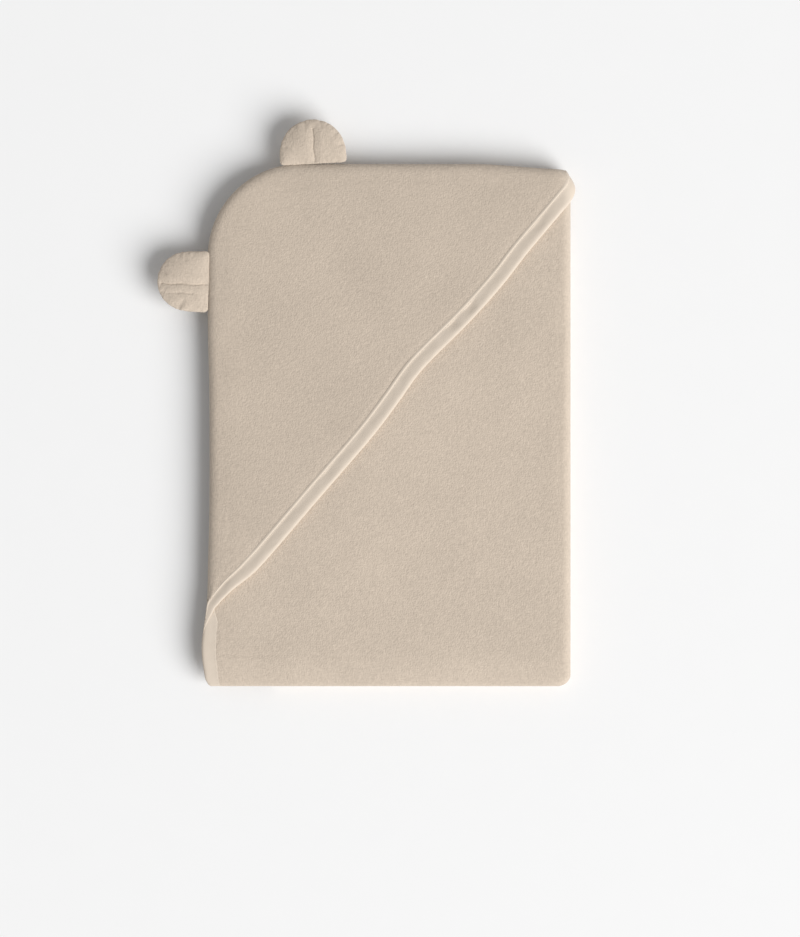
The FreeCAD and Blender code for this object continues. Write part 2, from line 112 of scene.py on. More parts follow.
# The mouth of the hood: from its left end to the right fold, and how far it bows towards
# the hood's corner at each share of that way.
MOUTH_LEFT, MOUTH_RIGHT = 57.0, 355.5
MOUTH_START = FRONT_END + HALF_LEAF - MOUTH_LEFT  # the fall of its left end
MOUTH_BOWS = [
    (-0.0358, -11.1), (-0.0161, -6.4), (0.0002, -3.1), (0.0127, -1.3), (0.052, -1.0), (0.12, -3.8),
    (0.28, -3.4), (0.42, -3.1), (0.5, -1.0), (0.56, 1.4), (0.61, 1.1), (0.7, -1.4), (0.79, -1.7),
    (0.87, 0), (1.0, 0), (1.04, 0), (1.078, 0),
]
# The width of its binding, as a share, at lengths from its left end.
MOUTH_TAPER = [(0, 0.2), (9, 0.3), (16.5, 0.5), (22, 0.65), (60, 1.0)]


def smoothstep(share):
    share = np.clip(share, 0, 1)
    return share * share * (3 - 2 * share)


def falling(distance, reach):
    """1 at a distance of 0, easing to 0 at the reach."""
    return np.clip(1 - np.asarray(distance) / reach, 0, 1) ** 2


def ripple(points, wavelength, seed=0.0):
    """Smooth noise, from about -1 to 1, that repeats nowhere."""
    shift = Vector((seed * 17.3, seed * 5.1, seed * 9.7))
    return np.array([noise.noise(Vector(p) / wavelength + shift) for p in np.asarray(points)])


# ------------------------------------------------------------------ the folds


def top_drop(run):
    return TOP_DROP * smoothstep((np.asarray(run) - DROP_START) / (TOP_LEAF_END - DROP_START))


def across_leaves(run):
    """Section through the leaves: the middle of the leaf, and the way its front layer lies."""
    run = np.asarray(run, float)
    place = np.zeros((len(run), 2))
    front = np.zeros((len(run), 2))
    starts = [0, TOP_LEAF_END, MIDDLE_START, MIDDLE_END, BOTTOM_START]
    stretch = np.searchsorted(starts[1:], run, side="left")
    along = run - np.array(starts)[stretch]
    turn = along / FOLD_RADIUS
    zero = np.zeros_like(run)
    one = zero + 1
    centres = {1: (RIGHT_BEND, 1), 3: (LEFT_BEND, -1)}
    for index, (centre, side) in centres.items():
        at = stretch == index
        out = np.stack([side * np.sin(turn), np.cos(turn)], axis=1)[at]
        place[at] = np.array(centre) + FOLD_RADIUS * out
        front[at] = out * side
    upper = RIGHT_BEND[1] + FOLD_RADIUS
    middle = RIGHT_BEND[1] - FOLD_RADIUS
    lower = LEFT_BEND[1] - FOLD_RADIUS
    straight = {
        0: (LEFT + along, upper, one),
        2: (RIGHT_BEND[0] - along, middle, -one),
        4: (LEFT_BEND[0] + along, lower, one),
    }
    for index, (x, z, way) in straight.items():
        at = stretch == index
        place[at] = np.stack([x, zero + z], axis=1)[at]
        front[at] = np.stack([zero, way], axis=1)[at]
    return place, front


def down_layers(fall):
    """Section through the layers: y and depth in the leaf, and the way out of the cloth."""
    fall = np.asarray(fall, float)
    turn = np.clip((fall - FRONT_END) / LAYER, 0, math.pi)
    y = HAIRPIN + np.maximum(FRONT_END - fall, 0) + np.maximum(fall - BACK_START, 0)
    out = np.stack([-np.sin(turn), np.cos(turn)], axis=1)
    middle = np.stack([y, np.zeros_like(y)], axis=1) + LAYER * out
    return middle, out


def folded(flat, offset):
    """Places in space of points of the flat cloth, each moved off its middle by an offset."""
    place, front = across_leaves(flat[:, 0])
    middle, out = down_layers(flat[:, 1])
    middle = middle + out * np.asarray(offset).reshape(-1, 1)
    leaf = place + front * middle[:, 1:]
    return settled(np.stack([leaf[:, 0], middle[:, 0], leaf[:, 1]], axis=1))


# How the soft cloth settles. Its edges sink by a share of their height above the top hinge,
# within a reach. Its corners are drawn in by a distance, so far up and so far along.
BOTTOM_SINK, RIGHT_SINK, OTHER_SINK, MOST_SINK = (0.56, 26), (0.16, 16), (0.12, 22), 0.6
UPPER_RIGHT, LOWER_RIGHT, LOWER_LEFT = (7.0, 15, 16), (5.5, 8, 24), (3.5, 7, 22)
UNEVENNESS, UNEVEN_WAVELENGTH = 0.05, 55
# The left edge bulges by the bottom corner and is drawn in above it: how far, at what height,
# and over what length. The right edge is drawn in along all of it.
BULGE, WAIST, LEFT_REACH = (4.4, 27, 24), (1.3, -35, 70), 60
RIGHT_PULL, RIGHT_REACH = 1.2, 40


def edge_sink(distance, share_and_reach):
    share, reach = share_and_reach
    return share * falling(distance, reach)


def settled(points):
    """The lie of the soft cloth: thinner towards its outer edges, and a little uneven."""
    x, y, z = points.T.copy()
    right = HINGE["unfold_top"][0]
    above = np.maximum(z - HINGE["unfold_top"][2], 0)
    sink = edge_sink(y - BOTTOM, BOTTOM_SINK) + edge_sink(right - x, RIGHT_SINK)
    sink = sink + edge_sink(x - LEFT, OTHER_SINK) + edge_sink(TOP - y, OTHER_SINK)
    swell = UNEVENNESS * ripple(np.stack([x, y, 0 * z], axis=1), UNEVEN_WAVELENGTH)
    z = z - above * (np.clip(sink, 0, MOST_SINK) - swell * (sink < 0.02))
    size, height, length = BULGE
    bulge = -size * np.exp(-(((y - BOTTOM - height) / length) ** 2))
    size, height, length = WAIST
    waist = size * np.exp(-(((y - height) / length) ** 4))
    x = x + (bulge + waist) * falling(x - LEFT, LEFT_REACH)
    size, up, along = UPPER_RIGHT
    upper_corner = size * falling(TOP - TOP_DROP - y, up) * smoothstep((x - right + along) / along)
    size, up, along = LOWER_RIGHT
    lower_corner = size * falling(y - BOTTOM, up) * smoothstep((x - right + along) / along)
    size, up, along = LOWER_LEFT
    left_corner = size * falling(y - BOTTOM, up) * falling(x - LEFT + 5, along)
    drawn_in = upper_corner + lower_corner + RIGHT_PULL * falling(right - x, RIGHT_REACH)
    x = x + left_corner - drawn_in
    return np.stack([x, y, z], axis=1)


# ------------------------------------------------------------------ meshes


def fill_outline(outline, inside):
    """Triangles over a closed outline in the plane, with the given points inside it."""
    count = len(outline)
    points = [Vector(point) for point in np.vstack([outline, inside])]
    rim = [(index, (index + 1) % count) for index in range(count)]
    _, _, faces, origin, _, _ = delaunay_2d_cdt(points, rim, [], 1, 1e-6, True)
    faces = [[origin[corner][0] for corner in face] for face in faces]
    middles = np.vstack([outline, inside])[np.array(faces)].mean(axis=1)
    return [face for face, kept in zip(faces, lies_inside(outline, middles)) if kept]


def lies_inside(outline, points):
    """Which points of the plane lie inside a closed outline."""
    x, y = points.T
    crossings = np.zeros(len(points), int)
    for low, high in zip(outline, np.roll(outline, -1, axis=0)):
        if low[1] != high[1]:
            level = (low[1] > y) != (high[1] > y)
            at = low[0] + (y - low[1]) * (high[0] - low[0]) / (high[1] - low[1])
            crossings += level & (at > x)
    return crossings % 2 == 1


def make_piece(name, points, faces, finish):
    """A smooth mesh piece, its points in millimetres, with its faces turned outwards."""
    mesh = bpy.data.meshes.new(name)
    mesh.from_pydata((np.asarray(points) * MM).tolist(), [], faces)
    work = bmesh.new()
    work.from_mesh(mesh)
    bmesh.ops.recalc_face_normals(work, faces=work.faces)
    work.to_mesh(mesh)
    work.free()
    mesh.update()
    mesh.shade_smooth()
    mesh.set_sharp_from_angle(angle=math.radians(70))
    mesh.materials.append(finish)
    piece = bpy.data.objects.new(name, mesh)
    bpy.context.scene.collection.objects.link(piece)
    return piece


def points_of(piece):
    """The vertices of a piece, in millimetres."""
    points = np.zeros(len(piece.data.vertices) * 3, np.float32)
    piece.data.vertices.foreach_get("co", points)
    return points.reshape(-1, 3).astype(float) / MM


def move_points(piece, points):
    piece.data.vertices.foreach_set("co", (points * MM).astype(np.float32).ravel())
    piece.data.update()


def closed_sheet(name, outline, front, back, place, finish):
    """A sheet with two faces and a rounded rim. place turns flat points into space, on the
    front (1), on the rim (0) or on the back (-1)."""
    count = len(outline)
    front_flat = np.vstack([outline, front])
    back_flat = np.vstack([outline, back])
    points = np.vstack([place(front_flat, 1), place(outline, 0), place(back_flat, -1)])
    rim_start = len(front_flat)
    back_start = rim_start + count
    faces = fill_outline(outline, front)
    for face in fill_outline(outline, back):
        faces.append([corner + back_start for corner in reversed(face)])
    for index in range(count):
        after = (index + 1) % count
        rim, next_rim = rim_start + index, rim_start + after
        faces.append([after, index, rim, next_rim])
        faces.append([next_rim, rim, back_start + index, back_start + after])
    return make_piece(name, points, faces, finish)


def closed_loft(name, rings, finish):
    """A skin over rings of the same number of points, closed at both ends."""
    rings = np.asarray(rings)
    count, sides = rings.shape[:2]
    faces = []
    for ring in range(count - 1):
        for side in range(sides):
            after = (side + 1) % sides
            low, high = ring * sides, (ring + 1) * sides
            faces.append([low + side, low + after, high + after, high + side])
    faces.append(list(range(sides))[::-1])
    faces.append(list(range((count - 1) * sides, count * sides)))
    return make_piece(name, rings.reshape(-1, 3), faces, finish)


def roughened(piece, depth, wavelength, where=None, seed=0.0):
    """Raises and lowers the surface of a piece along its normals, as the pile of terry does."""
    points = points_of(piece)
    normals = np.zeros(len(points) * 3, np.float32)
    piece.data.vertex_normals.foreach_get("vector", normals)
    amount = np.ones(len(points)) if where is None else where(points)
    rough = ripple(points, wavelength, seed) + 0.6 * ripple(points, wavelength / 2, seed + 1)
    move_points(piece, points + normals.reshape(-1, 3) * (rough * amount * depth)[:, None])


def steps(start, end, pitch):
    """Even steps from start to end, both ends included."""
    return np.linspace(start, end, max(2, round((end - start) / pitch) + 1))


def lengths_along(line):
    """The length of a line up to each of its points."""
    return np.concatenate([[0], np.cumsum(np.linalg.norm(np.diff(line, axis=0), axis=1))])


def evenly(line, pitch):
    """Points one pitch apart along a line, both its ends among them."""
    far = lengths_along(line)
    at = steps(0, far[-1], pitch)
    return np.stack([np.interp(at, far, line[:, axis]) for axis in range(line.shape[1])], axis=1)


def through(points, pitch):
    """A smooth line through points, as points one pitch apart."""
    fineness = 24
    points = np.asarray(points, float)
    ends = np.vstack([2 * points[0] - points[1], points, 2 * points[-1] - points[-2]])
    line = []
    for before, start, end, after in zip(ends, ends[1:], ends[2:], ends[3:]):
        share = np.linspace(0, 1, fineness, endpoint=False)[:, None]
        line.append(
            0.5 * (2 * start + (end - before) * share
                   + (2 * before - 5 * start + 4 * end - after) * share**2
                   + (3 * start - before - 3 * end + after) * share**3)
        )
    return evenly(np.vstack(line + [points[-1:]]), pitch)


def sideways(line):
    """The unit direction to the left of a flat line at each of its points."""
    along = np.gradient(line, axis=0)
    along /= np.linalg.norm(along, axis=1, keepdims=True)
    return np.stack([-along[:, 1], along[:, 0]], axis=1)


# ------------------------------------------------------------------ finishes


class Value:
    """A socket of a finish's node tree, which takes part in Python sums."""

    def __init__(self, finish, socket):
        self.finish = finish
        self.socket = socket

    def maths(self, operation, first, second):
        return self.finish.node("ShaderNodeMath", {"operation": operation}, {0: first, 1: second})

    def __add__(self, other):
        return self.maths("ADD", self, other)

    def __sub__(self, other):
        return self.maths("SUBTRACT", self, other)

    def __rsub__(self, other):
        return self.maths("SUBTRACT", other, self)

    def __mul__(self, other):
        return self.maths("MULTIPLY", self, other)

    __radd__ = __add__
    __rmul__ = __mul__


class Finish:
    """A material and the few node operations that the finishes need."""

    def __init__(self, name, roughness, sheen):
        self.material = bpy.data.materials.new(name)
        self.material.use_nodes = True
        self.tree = self.material.node_tree
        self.shader = self.tree.nodes["Principled BSDF"]
        self.shader.inputs["Roughness"].default_value = roughness
        self.shader.inputs["Specular IOR Level"].default_value = 0.2
        self.shader.inputs["Sheen Weight"].default_value = sheen
        self.shader.inputs["Sheen Roughness"].default_value = 0.6

    def put(self, socket, value):
        if isinstance(value, Value):
            self.tree.links.new(value.socket, socket)
        else:
            socket.default_value = value

    def node(self, kind, settings, sockets, output=0):
        made = self.tree.nodes.new(kind)
        for name, value in settings.items():
            setattr(made, name, value)
        for name, value in sockets.items():
            self.put(made.inputs[name], value)
        return Value(self, made.outputs[output])

    def place(self):
        return self.node("ShaderNodeTexCoord", {}, {}, "Object")

    def stretched(self, place, scale):
        return self.node(
            "ShaderNodeVectorMath", {"operation": "MULTIPLY"}, {0: place, 1: scale}
        )

    def grain(self, place, scale, detail=2.0, roughness=0.5):
        return self.node(
            "ShaderNodeTexNoise",
            {},
            {"Vector": place, "Scale": scale, "Detail": detail, "Roughness": roughness},
        )

    def loops(self, place, scale):
        return self.node(
            "ShaderNodeTexVoronoi",
            {"feature": "SMOOTH_F1"},
            {"Vector": place, "Scale": scale, "Smoothness": 0.3},
        )

    def colour_between(self, share, first, second):
        return self.node(
            "ShaderNodeMix", {"data_type": "RGBA"}, {0: share, 6: first, 7: second}, 2
        )

    def finish(self, colour, height, depth):
        bump = self.node(
            "ShaderNodeBump", {}, {"Height": height, "Distance": depth, "Strength": 1.0}
        )
        self.put(self.shader.inputs["Base Color"], colour)
        self.put(self.shader.inputs["Normal"], bump)
        return self.material


def tone(colour, factor):
    return tuple(channel * factor for channel in colour) + (1.0,)


TERRY_COLOUR = (0.60, 0.505, 0.41)
TAPE_COLOUR = (0.68, 0.585, 0.485)
THREAD_COLOUR = (0.72, 0.63, 0.53)


def terry_finish(name, painted_shade_of_piece):
    """Cotton terry: short loops in faint rows. Its colour is partly painted shade of the pile, lighter
    where the bump rises and darker where it sinks, and partly mottled at random from place to place.
    """
    look = Finish(name, roughness=0.95, sheen=0.22)
    place = look.place()
    loops = 1 - look.loops(place, 950.0)
    rows = look.grain(look.stretched(place, (1500.0, 260.0, 900.0)), 1.0)
    picks = look.grain(look.stretched(place, (260.0, 1500.0, 900.0)), 1.0)
    clumps = look.grain(place, 480.0)
    fine = look.grain(place, 2600.0)
    height = loops * 0.8 + rows * 0.25 + picks * 0.25 + clumps * 0.2 + fine * 0.3
    wide = look.grain(place, 28.0, 3.0)
    # Painted shade of the pile: the clumps, rows, picks and fine noise also raise the bump, so the
    # colour is darker in its low places. The wide noise alone is random mottling.
    pile_shade_and_mottling = clumps * 0.6 + rows * 0.6 + picks * 0.5 + fine * 0.3 + wide * 0.4 - 0.7
    # The last argument darkens a whole piece's colour as painted shade; 1.0 leaves the terry's own
    # colour.
    dark, light = 0.79 * painted_shade_of_piece, 1.21 * painted_shade_of_piece
    colour = look.colour_between(pile_shade_and_mottling, tone(TERRY_COLOUR, dark), tone(TERRY_COLOUR, light))
    return look.finish(colour, height, 0.00027)


def tape_finish():
    """Cotton jersey tape: fine and smooth, with a faint rib along and across."""
    look = Finish("tape", roughness=0.8, sheen=0.12)
    place = look.place()
    weave = look.grain(look.stretched(place, (2600.0, 1500.0, 1800.0)), 1.0, 1.0)
    soft = look.grain(place, 160.0)
    colour = look.colour_between(soft, tone(TAPE_COLOUR, 0.96), tone(TAPE_COLOUR, 1.04))
    return look.finish(colour, weave * 0.5 + soft * 0.6, 0.00025)


def thread_finish():
    """Twisted sewing thread."""
    look = Finish("thread", roughness=0.6, sheen=0.1)
    place = look.place()
    twist = look.grain(place, 3500.0, 1.0)
    colour = look.colour_between(twist, tone(THREAD_COLOUR, 0.93), tone(THREAD_COLOUR, 1.05))
    return look.finish(colour, twist, 0.0001)


def wadding_finish():
    """White polyester filling."""
    look = Finish("wadding", roughness=1.0, sheen=0.3)
    place = look.place()
    tangle = look.grain(place, 900.0, 4.0, 0.7)
    colour = look.colour_between(tangle, (0.8, 0.79, 0.76, 1.0), (0.9, 0.89, 0.86, 1.0))
    return look.finish(colour, tangle, 0.0006)


TERRY = terry_finish("terry", 1.0)
# The hood's terry is the towel's own terry, painted darker by the factor 0.955: painted shade on the
# hood.
SHADED_HOOD_TERRY = terry_finish("terry_hood_painted_shade", 0.955)
EAR_TERRY = terry_finish("terry_ear", 1.0)
TAPE, THREAD, WADDING = tape_finish(), thread_finish(), wadding_finish()


# ------------------------------------------------------------------ the towel's cloth


def grid(runs, falls):
    return np.array([(run, fall) for run in runs for fall in falls]).reshape(-1, 2)


def fold_columns(start):
    return start + np.linspace(0, BEND, FOLD_STEPS)


HAIRPIN_ROWS = np.linspace(FRONT_END, BACK_START, HAIRPIN_STEPS)


def inset(flat):
    """Distance of flat points from the nearest edge of the whole cloth."""
    run, fall = flat.T
    side = np.minimum(run, CLOTH_WIDTH - run)
    end = np.minimum(fall, CLOTH_LENGTH - fall) - top_drop(run)
    round_part = CORNER - np.hypot(CORNER - side, CORNER - end)
    return np.where((side < CORNER) & (end < CORNER), round_part, np.minimum(side, end))


def arc(centre, start, end, pitch):
    """Points of a quarter turn between two angles, without its first point."""
    count = max(3, round(CORNER * abs(end - start) / pitch))
    angles = np.linspace(start, end, count + 1)[1:]
    return np.stack([centre[0] + CORNER * np.cos(angles), centre[1] + CORNER * np.sin(angles)], axis=1)


def edge_runs(start, end, pitch=2.0):
    """Runs along a top edge, with every column of the folds among them."""
    stops = [start]
    for first in (TOP_LEAF_END, MIDDLE_END):
        if start < first < end:
            stops += list(steps(stops[-1], first, pitch)[1:])
            stops += list(fold_columns(first)[1:])
    stops += list(steps(stops[-1], end, pitch)[1:])
    return np.array(stops)


def side_falls(start, end, pitch=2.0):
    """Falls down a side edge, with every row of the bottom fold among them."""
    down = steps(start, FRONT_END, pitch)
    up = steps(BACK_START, end, pitch)
    return np.concatenate([down, HAIRPIN_ROWS[1:-1], up])


def top_edge(runs):
    return np.stack([runs, top_drop(runs)], axis=1)


def back_edge(runs):
    return np.stack([runs, CLOTH_LENGTH - top_drop(runs)], axis=1)


def left_part_outline():
    """The cloth from its left edge to the split, anticlockwise in run and fall."""
    runs = edge_runs(CORNER, SPLIT)
    cut = side_falls(TOP_DROP, CLOTH_LENGTH - TOP_DROP, COARSE)
    side = side_falls(CORNER, CLOTH_LENGTH - CORNER)
    far = CLOTH_LENGTH - CORNER
    return np.vstack([
        top_edge(runs),
        np.stack([np.full(len(cut), SPLIT), cut], axis=1)[1:],
        back_edge(runs[::-1])[1:],
        arc((CORNER, far), math.pi / 2, math.pi, 2.0),
        np.stack([np.zeros(len(side)), side[::-1]], axis=1)[1:],
        arc((CORNER, CORNER), math.pi, 1.5 * math.pi, 2.0)[:-1],
    ])


def right_part_outline():
    """The cloth from the split to the bottom leaf's edge."""
    runs = edge_runs(SPLIT, CLOTH_WIDTH - CORNER)
    cut = side_falls(TOP_DROP, CLOTH_LENGTH - TOP_DROP, COARSE)
    side = side_falls(CORNER + TOP_DROP, CLOTH_LENGTH - CORNER - TOP_DROP)
    centre, far = CLOTH_WIDTH - CORNER, CLOTH_LENGTH - CORNER - TOP_DROP
    return np.vstack([
        top_edge(runs),
        arc((centre, CORNER + TOP_DROP), -math.pi / 2, 0, 2.0),
        np.stack([np.full(len(side), CLOTH_WIDTH), side], axis=1)[1:],
        arc((centre, far), 0, math.pi / 2, 2.0),
        back_edge(runs[::-1])[1:],
        np.stack([np.full(len(cut), SPLIT), cut[::-1]], axis=1)[1:-1],
    ])


def mouth_line(pitch=2.0):
    """The middle of the hood's mouth, as run and fall, from its left end to its tip. Past the
    right fold the run is measured on the hood itself."""
    start = np.array([0.0, FRONT_END + HALF_LEAF - MOUTH_LEFT])
    end = np.array([HINGE["unfold_top"][0] - LEFT, FRONT_END + HALF_LEAF - MOUTH_RIGHT])
    along = end - start
    across = np.array([along[1], -along[0]]) / np.linalg.norm(along)
    return through([start + along * share + across * bow for share, bow in MOUTH_BOWS], pitch)


MOUTH = mouth_line()


def beyond_mouth(run, fall):
    """How far below the mouth's middle line a flat point of the top leaf lies, up or down."""
    return fall - np.interp(run, MOUTH[:, 0], MOUTH[:, 1])


def jittered(points, amount, seed):
    return points + np.random.default_rng(seed).uniform(-amount, amount, points.shape)


def bare_front(pitch):
    """Closely spaced points where the top leaf shows, beside the hood."""
    points = grid(steps(0, TOP_LEAF_END, pitch)[:-1], steps(0, FRONT_END, pitch)[:-1])
    points = points[beyond_mouth(*points.T) > -2]
    return jittered(points, 0.25 * pitch, 3)


def cloth_points(start, end, fine):
    """Points inside the cloth between two runs: closer where the towel shows."""
    runs, columns = [], []
    if start < TOP_LEAF_END:
        runs += list(steps(start, min(end, TOP_LEAF_END), COARSE)[:-1])
        columns += list(fold_columns(TOP_LEAF_END))
    runs += list(steps(max(start, MIDDLE_START), min(end, MIDDLE_END), COARSE)[1:-1])
    if end > MIDDLE_END:
        columns += list(fold_columns(MIDDLE_END))
        runs += list(steps(BOTTOM_START, end, COARSE)[1:])
    front = steps(0, FRONT_END, COARSE)[:-1]
    back = steps(BACK_START, CLOTH_LENGTH, COARSE)[1:]
    fold_front = steps(0, FRONT_END, MEDIUM if fine else COARSE)[:-1]
    groups = [
        grid(runs, front),
        grid(runs, back),
        grid(columns, np.concatenate([fold_front, HAIRPIN_ROWS, back])),
        grid(runs, HAIRPIN_ROWS),
    ]
    if fine:
        shown = groups[0]
        hidden = (shown[:, 0] > TOP_LEAF_END) | (beyond_mouth(*shown.T) < -2)
        groups[0] = shown[hidden]
        groups.append(bare_front(FINE))
        shown_runs = list(steps(0, TOP_LEAF_END, MEDIUM)[1:-1])
        groups[3] = grid(shown_runs + [run for run in runs if run > TOP_LEAF_END], HAIRPIN_ROWS)
    points = np.vstack(groups)
    points = np.unique(np.round(points, 6), axis=0)
    inside = (inset(points) > 0.5) & (points[:, 0] > start + 0.3) & (points[:, 0] < end - 0.3)
    return points[inside]


def is_bound(flat):
    """Where the edge carries a binding: everywhere but along the hood's two seams."""
    run, fall = flat.T
    return ~((fall < MOUTH_START) & (run < MIDDLE_START))


def binding_share(flat):
    """The binding on the left edge starts narrow, under the left end of the hood's mouth."""
    on_left_edge = (flat[:, 0] < 2 * BAND) & (flat[:, 1] < BACK_START)
    share = 0.5 + 0.35 * smoothstep((flat[:, 1] - MOUTH_START) / 14)
    share = share + 0.15 * smoothstep((flat[:, 1] - FRONT_END) / (BACK_START - FRONT_END))
    return np.where(on_left_edge, share, 1.0)


def binding_swell(flat):
    """How much fuller the binding is where it shows on the left edge."""
    return 1 + 0.5 * falling(flat[:, 0], 11) * (flat[:, 1] < FRONT_END)


PRESSED, PRESSED_EDGE = 0.95, 0.55  # half the cloth's thickness inside a binding
LAP = 1.9  # how far the cloth's full thickness laps over a binding's inner edge
SEWN_ROUND = 3.0  # how far in the cloth is rounded off in the hood's seam


def cloth_half_thickness(flat):
    """Thinner inside a binding, and rounded off in the hood's seam."""
    edge = inset(flat)
    under_tape = PRESSED_EDGE + (PRESSED - PRESSED_EDGE) * smoothstep(edge / 1.5)
    beyond_tape = edge / binding_share(flat) - BAND + LAP
    under_tape = under_tape + (HALF_CLOTH - PRESSED) * smoothstep(beyond_tape / 1.2)
    sewn = HALF_CLOTH * np.sqrt(1 - (1 - np.clip(edge / SEWN_ROUND, 0.03, 1)) ** 2)
    return np.where(is_bound(flat), under_tape, sewn)


def place_cloth(flat, side):
    return folded(flat, side * cloth_half_thickness(flat))


def shows(points):
    """1 on the faces of the towel that show when it lies folded, 0 deep between its leaves."""
    x, y, z = points.T
    high = (z > SURFACE - 2.2) * 1.0
    right = (x > RIGHT_BEND[0] + 3.5) * 1.0
    near = (y < HAIRPIN - 1.5) * 1.0
    return np.clip(high + 0.7 * right + 0.7 * near, 0, 1)


def make_cloth():
    upper = closed_sheet(
        "towel_upper_leaves", left_part_outline(), cloth_points(0, SPLIT, True),
        cloth_points(0, SPLIT, False), place_cloth, TERRY,
    )
    roughened(upper, 0.055, 2.9, shows)
    lower = closed_sheet(
        "towel_lower_leaves", right_part_outline(), cloth_points(SPLIT, CLOTH_WIDTH, False),
        cloth_points(SPLIT, CLOTH_WIDTH, False), place_cloth, TERRY,
    )
    return upper, lower


# ------------------------------------------------------------------ the stitches

STITCH_PITCH, STITCH_LENGTH, THREAD_THICKNESS = 2.6, 2.2, 0.4
STITCH_SIDES, STITCH_RINGS = 5, 4


def stitch_nodes():
    """Geometry nodes that turn a line of edges into a row of stitches."""
    tree = bpy.data.node_groups.new("stitch_row", "GeometryNodeTree")
    sockets = tree.interface
    sockets.new_socket("Line", in_out="INPUT", socket_type="NodeSocketGeometry")
    for name in ("Pitch", "Length", "Thickness"):
        sockets.new_socket(name, in_out="INPUT", socket_type="NodeSocketFloat")
    sockets.new_socket("Thread", in_out="INPUT", socket_type="NodeSocketMaterial")
    sockets.new_socket("Stitches", in_out="OUTPUT", socket_type="NodeSocketGeometry")

    given = tree.nodes.new("NodeGroupInput").outputs
    curve = tree.nodes.new("GeometryNodeMeshToCurve")
    spaced = tree.nodes.new("GeometryNodeResampleCurve")
    spaced.mode = "LENGTH"
    stitch = tree.nodes.new("GeometryNodeMeshUVSphere")
    stitch.inputs["Segments"].default_value = STITCH_SIDES
    stitch.inputs["Rings"].default_value = STITCH_RINGS
    stitch.inputs["Radius"].default_value = 0.5
    size = tree.nodes.new("ShaderNodeCombineXYZ")
    tangent = tree.nodes.new("GeometryNodeInputTangent")
    turn = tree.nodes.new("FunctionNodeAlignRotationToVector")
    turn.axis = "Z"
    placed = tree.nodes.new("GeometryNodeInstanceOnPoints")
    real = tree.nodes.new("GeometryNodeRealizeInstances")
    smooth = tree.nodes.new("GeometryNodeSetShadeSmooth")
    dressed = tree.nodes.new("GeometryNodeSetMaterial")
    result = tree.nodes.new("NodeGroupOutput")
    for start, end in (
        (given["Line"], curve.inputs["Mesh"]),
        (curve.outputs["Curve"], spaced.inputs["Curve"]),
        (given["Pitch"], spaced.inputs["Length"]),
        (spaced.outputs["Curve"], placed.inputs["Points"]),
        (stitch.outputs["Mesh"], placed.inputs["Instance"]),
        (given["Thickness"], size.inputs["X"]),
        (given["Thickness"], size.inputs["Y"]),
        (given["Length"], size.inputs["Z"]),
        (size.outputs["Vector"], placed.inputs["Scale"]),
        (tangent.outputs["Tangent"], turn.inputs["Vector"]),
        (turn.outputs["Rotation"], placed.inputs["Rotation"]),
        (placed.outputs["Instances"], real.inputs["Geometry"]),
        (real.outputs["Geometry"], smooth.inputs["Geometry"]),
        (smooth.outputs["Geometry"], dressed.inputs["Geometry"]),
        (given["Thread"], dressed.inputs["Material"]),
        (dressed.outputs["Geometry"], result.inputs["Stitches"]),
    ):
        tree.links.new(start, end)
    return tree


STITCHES = stitch_nodes()


def stitch_row(name, line):
    """A row of stitches along a line of points in space, as a plain mesh."""
    mesh = bpy.data.meshes.new(name)
    mesh.from_pydata((line * MM).tolist(), [(at, at + 1) for at in range(len(line) - 1)], [])
    row = bpy.data.objects.new(name, mesh)
    bpy.context.scene.collection.objects.link(row)
    maker = row.modifiers.new("stitches", "NODES")
    maker.node_group = STITCHES
    values = {
        "Pitch": STITCH_PITCH * MM,
        "Length": STITCH_LENGTH * MM,
        "Thickness": THREAD_THICKNESS * MM,
        "Thread": THREAD,
    }
    for item in STITCHES.interface.items_tree:
        if item.in_out == "INPUT" and item.name in values:
            maker[item.identifier] = values[item.name]
    graph = bpy.context.evaluated_depsgraph_get()
    row.data = bpy.data.meshes.new_from_object(row.evaluated_get(graph))
    row.modifiers.clear()
    keep_whole(row)
    return row


def keep_whole(row):
    """Keep each stitch above or below a hinge, so that all of it turns with one leaf."""
    clear = 0.02
    stitches = points_of(row).reshape(-1, STITCH_SIDES * (STITCH_RINGS - 1) + 2, 3)
    for hinge in (HINGE["unfold_top"][2], HINGE["unfold_middle"][2]):
        high = stitches[:, :, 2]
        above = high.mean(axis=1, keepdims=True) > hinge
        high[:] = np.where(above, np.maximum(high, hinge + clear), np.minimum(high, hinge - clear))
    move_points(row, stitches.reshape(-1, 3))


# ------------------------------------------------------------------ the bindings on the edges

# Half of the binding's section, from its stitched edge to the fold round the cloth's edge:
# distance in from the cloth's edge, and height off its middle.
TAPE_OUTSIDE = [
    (11.0, 1.0), (10.7, 1.32), (10.0, 1.4), (8.0, 1.3), (5.0, 1.36), (2.0, 1.38), (0.7, 1.25),
    (-0.2, 0.8), (-0.45, 0.0),
]
TAPE_INSIDE = [(10.4, 0.9), (2.0, 0.9), (0.9, 0.75), (0.45, 0.0)]
EDGE_ROW = 9.3  # from the cloth's edge to the stitches


def tape_section():
    outside = TAPE_OUTSIDE + [(edge, -high) for edge, high in TAPE_OUTSIDE[-2::-1]]
    inside = [(edge, -high) for edge, high in TAPE_INSIDE] + TAPE_INSIDE[-2::-1]
    return np.array(outside + inside)


def edge_ribbon(name, path, inward):
    """A binding folded round the edge of the flat cloth, which then folds with it."""
    section = tape_section()
    rings = []
    for edge, high in section:
        flat = path + inward * (edge * binding_share(path))[:, None]
        rings.append(folded(flat, high * (binding_swell(flat) if high > 0 else 1)))
    return closed_loft(name, np.stack(rings, axis=1), TAPE)


